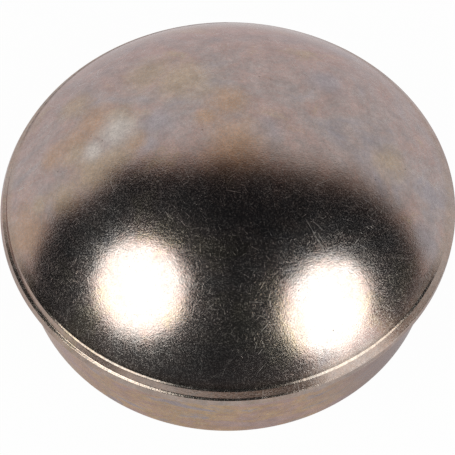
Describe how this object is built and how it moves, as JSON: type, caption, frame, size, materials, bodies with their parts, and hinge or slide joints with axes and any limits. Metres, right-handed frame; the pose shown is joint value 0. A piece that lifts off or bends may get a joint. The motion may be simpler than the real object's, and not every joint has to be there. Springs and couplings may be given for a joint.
{
  "type": "dust cap",
  "caption": "Domed dust cap of zinc-plated sheet steel for a wheel hub, with a folded rim and a short round skirt that presses into the hub's bore.",
  "frame": {"origin": "centre of the skirt's open edge, on the axis of the cap, at the height of the surface that it stands on", "axes": "+Z along the axis of the cap, from the open edge to the top of the crown; X and Y are free, as the cap is round"},
  "size_m": [0.0942, 0.0942, 0.0407],
  "materials": {
    "zinc_plated_steel": "bright zinc plate over pressed sheet steel, passivated, with faint yellow, pink and blue tints and fine handling scratches"
  },
  "bodies": {
    "root": {"dust_cap": "zinc_plated_steel"}
  },
  "joints": []
}
